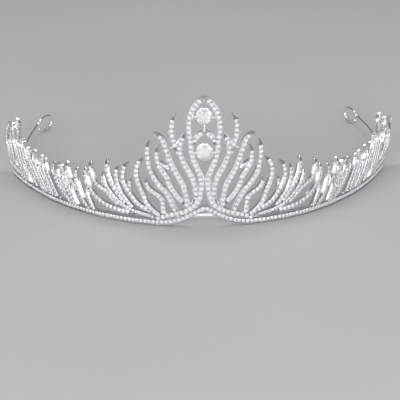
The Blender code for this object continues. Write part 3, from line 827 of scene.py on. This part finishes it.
def make_pieces(setter, rail):
    earlier = [rail]
    for name, strokes in PIECES.items():
        parts, stones, beads = [], [], list(LINKS.get(name, []))
        for width, root_width, tip_length, points in strokes:
            strand = tracery_strand(width, root_width, tip_length, points)
            trim = BACK_TRIM + BACK_STEP * (len(earlier) % BACK_STEPS)
            parts.append((strand, strand_rows(strand, earlier, trim=trim)))
            more_stones, more_beads = setter.set_along(strand, earlier, tip_length * FIRST_STONE)
            stones += more_stones
            beads += more_beads
            earlier.append(strand)
        for side in SIDES:
            strand_object(f"{name}_{side}_channel", side, parts, f"{name}_{side}")
            stones_object(f"{name}_{side}_stones", side, stones)
            beads_object(f"{name}_{side}_prongs", side, beads)


def make_band():
    """The comfort band: a smooth flat bar with rounded edges, in one piece from end to end."""
    front = -BAND_BEHIND - BAND_ROUNDING
    back = -BAND_BEHIND - BAND_THICKNESS + BAND_ROUNDING
    top, bottom = BAND_HEIGHT - BAND_ROUNDING, BAND_ROUNDING
    corners = [(front, top, 0), (back, top, 90), (back, bottom, 180), (front, bottom, 270)]
    outline = []
    for out, z, start in corners:
        for step in range(4):
            angle = math.radians(start + 30 * step)
            outline.append(
                (out + BAND_ROUNDING * math.cos(angle), z + BAND_ROUNDING * math.sin(angle)))
    outs, heights = np.array(outline).T
    places = np.linspace(-BAND_END, BAND_END, BAND_SECTIONS)
    points = []
    for s, low in zip(places, edge_height(BAND_LOW, np.abs(places))):
        points += list(on_wall("right", np.full(len(outs), s), heights + low, outs))
    faces = mirrored(closed_tube_faces(BAND_SECTIONS, len(outs)))
    finish_piece(new_object("inner_band_bar", points, faces, [SILVER]), "bright_metal", "inner_band")


# --- The big stones and their settings -------------------------------------------------------

GIRDLE_BEHIND = 0.34  # from a big stone's front to its girdle, as a share of its radius

# Gallery rings, as (share of the stone's radius, distance behind its girdle, wire radius).
LOW_RING = (0.8, 1.9, 0.32)
TOP_RING = (0.98, 0.55, 0.2)

# Claws and lugs, as (angle, distance from the stone's centre, radius).
UPPER_CLAWS = [(angle, 3.6, 0.34) for angle in (0, 90, 180, 270)]
LOWER_CLAWS = [(0, 3.45, 0.26), (90, 3.5, 0.3), (180, 3.45, 0.26)]
UPPER_LUGS = [(270, 4.15, 0.34), (270, 4.7, 0.36), (270, 5.15, 0.36)]
UPPER_LUGS += [(angle, 4.05, 0.3) for angle in (7, -7, 173, 187)]
LOWER_LUGS = [(0, 3.7, 0.26), (180, 3.7, 0.26)]
LUG_IN_FRONT = 0.1

# A claw's route: two places up its foot, as (share of the stone's radius, distance behind the
# girdle), and three round its hook, as (how far short of the claw's reach, distance behind).
CLAW_FOOT = [LOW_RING[:2], (1.0, 1.0)]
CLAW_HOOK = [(0.0, 0.1), (0.12, -0.5), (0.5, -0.85)]
CLAW_SPACING = 0.2
CLAW_ROOT = 0.8  # how thick a claw is at its foot, as a share of its own radius
CLAW_GROWTH = 0.25  # and how much thicker at its hook
CLAW_BALL = 1.3


def big_stone(node):
    """A big stone's radius and the middle of its girdle, in millimetres."""
    low, high = STONE_BOX[node]
    radius = (high.x - low.x) / 2 / MM
    centre = (low + high) / 2 / MM
    return radius, Vector((centre.x, low.y / MM + GIRDLE_BEHIND * radius, centre.z))


def make_big_stone(node):
    radius, centre = big_stone(node)
    shape, faces = FULL_CUT
    facing = Matrix.Translation(centre) @ Matrix.Rotation(math.pi / 2, 4, "X")
    points = [facing @ Vector(point * radius) * MM for point in shape]
    piece = new_object(f"{node}_brilliant", points, faces, [BIG_STONE], sharp=0)
    finish_piece(piece, "clear_stone", node)


def tube(points, radii, sides=12):
    """A round tube through the points, in metres, with flat ends."""
    rows = []
    path = [Vector(point) for point in points]
    no_wire = Vector((0.13, 0.31, 0.94))  # a direction that none of the wires runs along
    for i, here in enumerate(path):
        along = (path[min(i + 1, len(path) - 1)] - path[max(i - 1, 0)]).normalized()
        side_way = along.cross(no_wire).normalized()
        up = side_way.cross(along)
        for k in range(sides):
            angle = 2 * math.pi * k / sides
            rows.append(here + (side_way * math.cos(angle) + up * math.sin(angle)) * radii[i])
    return rows, closed_tube_faces(len(path), sides)


def ball(centre, radius, stretch=(1, 1, 1)):
    shape, faces = ROUND_BALL
    return [Vector(centre) + Vector(point * np.array(stretch)) * radius for point in shape], faces


def beside(centre, angle, reach, behind):
    """The point, in metres, at an angle and a distance round a stone and behind its girdle."""
    turn = math.radians(angle)
    return (centre + Vector((reach * math.cos(turn), behind, reach * math.sin(turn)))) * MM


def gallery_ring(centre, radius, behind, wire, turns=48, sides=10):
    """A round ring that faces the front."""
    points = []
    for k in range(turns + 1):
        for j in range(sides):
            bend = 2 * math.pi * j / sides
            reach = radius + wire * math.cos(bend)
            points.append(beside(centre, 360 * k / turns, reach, behind + wire * math.sin(bend)))
    closing = turns * sides
    faces = mirrored(tube_faces(turns + 1, sides))
    return points[:closing], [tuple(k % closing for k in face) for face in faces]


def make_setting(node, stone, claws, lugs):
    """Claws from two gallery rings over the stone's edge, and the solder lugs that hold them."""
    radius, centre = big_stone(stone)
    shapes = []
    for share, behind, wire in (LOW_RING, TOP_RING):
        shapes.append(gallery_ring(centre, radius * share, behind, wire))
    for angle, reach, size in claws:
        bends = [(radius * share, behind) for share, behind in CLAW_FOOT]
        bends += [(reach - short, behind) for short, behind in CLAW_HOOK]
        route = [tuple(beside(centre, angle, away, behind)) for away, behind in bends]
        line = smooth_line(route, CLAW_SPACING * MM)
        growth = np.arange(len(line)) / len(line)
        shapes.append(tube(line, size * MM * (CLAW_ROOT + CLAW_GROWTH * growth)))
        shapes.append(ball(line[-1], size * MM * CLAW_BALL))
    for angle, reach, size in lugs:
        shapes.append(ball(beside(centre, angle, reach, -LUG_IN_FRONT), size * MM))
    piece = new_object(f"{node}_claws", *gather(shapes), [SILVER], sharp=60)
    finish_piece(piece, "bright_metal", node)


# --- The tails -------------------------------------------------------------------------------


def eye_points(lug, far_end):
    """The hairpin eye: an upright rounded loop from the lug to the far end and back beside it."""
    run_x, run_y = far_end[0] - lug[0], far_end[1] - lug[1]
    half_height = 0.5 * EYE_HEIGHT - WIRE_RADIUS
    widest = math.radians(180 - EYE_MOUTH)
    points = []
    for i in range(EYE_STEPS + 1):
        turn = widest - 2 * widest * i / EYE_STEPS
        along = 0.5 * (1 + math.copysign(abs(math.cos(turn)) ** EYE_SQUARENESS, math.cos(turn)))
        up = half_height * math.copysign(abs(math.sin(turn)) ** EYE_SQUARENESS, math.sin(turn))
        points.append((lug[0] + run_x * along, lug[1] + run_y * along, 0.5 * EYE_HEIGHT + up))
    return points


def to_world(points):
    return [Vector((FRONT_X + x, FRONT_Y + y, z)) * MM for x, y, z in points]


def tail_piece(name, side, shape, sharp):
    made = new_object(f"{name}_{side}_round", *shape, [SILVER], sharp=sharp)
    finish_piece(made, "bright_metal", f"{name}_{side}")


def make_tail(side):
    route, far_end = TAILS[side]
    line = to_world(smooth_line(route, WIRE_SPACING))
    tail_piece("tail_wire", side, tube(line, np.full(len(line), WIRE_RADIUS * MM)), 50)
    lead = (Vector(route[-1]) - Vector(route[-2])).normalized()
    lug = Vector(route[-1]) + lead * LUG_RADIUS
    tail_piece("solder_bead", side, ball(to_world([lug])[0], LUG_RADIUS * MM, LUG_STRETCH), 180)
    start = lug + lead * (LUG_RADIUS + LUG_GAP)
    line = to_world(eye_points(start, far_end))
    from_bend = np.arange(len(line)) - EYE_STEPS / 2
    swell = 1 + EYE_SWELL * np.exp(-(from_bend / SWELL_REACH) ** 2)
    eye = gather([tube(line, EYE_WIRE * MM * swell), ball(line[-1], EYE_BALL * MM)])
    tail_piece("hairpin_eye", side, eye, 50)


# --- Studio and camera -----------------------------------------------------------------------

CAMERA_DISTANCE = 0.75
CAMERA_ELEVATION = 18.0
CAMERA_TURN = 1.91
CAMERA_ROLL = -0.39
FIELD_PER_DISTANCE = 0.19254  # the picture's width over the camera's distance
AIM_X = 0.00235  # how far left of the front centre the camera aims, over the distance
AIM_Z = 0.01304  # and how far above it
FLOOR_SIZE = 16.0
FLOOR_DOWN = 0.0002
WORLD_COLOUR = (0.9, 0.93, 1.0, 1)
WORLD_STRENGTH = 0.22
LIGHTS = [  # name, place, size and power
    ("front", (-0.1, -1.3, 0.36), (0.9, 0.5), 18),
    ("left", (-0.95, -0.45, 0.5), (0.9, 0.8), 4),
    ("right", (1.0, -0.35, 0.5), (0.9, 0.8), 4),
    ("above", (0.0, 0.35, 1.0), (0.9, 0.4), 4),
]
LIGHT_TARGET = Vector((0, 0, 0.02))


def make_camera():
    turn, rise = math.radians(CAMERA_TURN), math.radians(CAMERA_ELEVATION)
    forward = Vector((math.sin(turn) * math.cos(rise), math.cos(turn) * math.cos(rise), -math.sin(rise)))
    right = Vector((math.cos(turn), -math.sin(turn), 0))
    up = right.cross(forward)
    place = Vector((FRONT_X, FRONT_Y, 0)) * MM - forward * CAMERA_DISTANCE
    data = bpy.data.cameras.new("camera")
    data.sensor_width = 36.0
    data.lens = data.sensor_width / FIELD_PER_DISTANCE
    data.clip_start = 0.01
    data.clip_end = 50.0
    camera = bpy.data.objects.new("camera", data)
    bpy.context.scene.collection.objects.link(camera)
    aim = (forward - right * AIM_X + up * AIM_Z).normalized()
    right = aim.cross(up).normalized()
    up = right.cross(aim)
    basis = Matrix((right, up, -aim)).transposed().to_4x4()
    roll = Matrix.Rotation(math.radians(CAMERA_ROLL), 4, "Z")
    camera.matrix_world = Matrix.Translation(place) @ basis @ roll
    bpy.context.scene.camera = camera


def area_light(name, place, size, power):
    data = bpy.data.lights.new(name, "AREA")
    data.shape = "RECTANGLE"
    data.size, data.size_y = size
    data.energy = power
    light = bpy.data.objects.new(name, data)
    light.location = place
    light.rotation_euler = (LIGHT_TARGET - Vector(place)).to_track_quat("-Z", "Y").to_euler()
    bpy.context.scene.collection.objects.link(light)


def make_studio():
    bpy.ops.mesh.primitive_plane_add(size=FLOOR_SIZE, location=(0, 0, -FLOOR_DOWN))
    floor = bpy.context.object
    floor.name = "floor"
    floor.data.materials.append(floor_material())
    world = bpy.data.worlds.new("studio")
    world.use_nodes = True
    background = world.node_tree.nodes["Background"]
    background.inputs["Color"].default_value = WORLD_COLOUR
    background.inputs["Strength"].default_value = WORLD_STRENGTH
    bpy.context.scene.world = world
    bpy.context.scene.view_settings.view_transform = "Standard"
    for light in LIGHTS:
        area_light(*light)


def main():
    make_camera()
    setter = Setter()
    rail = make_rails(setter)
    make_pieces(setter, rail)
    make_band()
    for node in STONE_BOX:
        make_big_stone(node)
    make_setting("upper_setting", "upper_stone", UPPER_CLAWS, UPPER_LUGS)
    make_setting("lower_setting", "lower_stone", LOWER_CLAWS, LOWER_LUGS)
    for side in SIDES:
        make_tail(side)
    make_studio()


main()
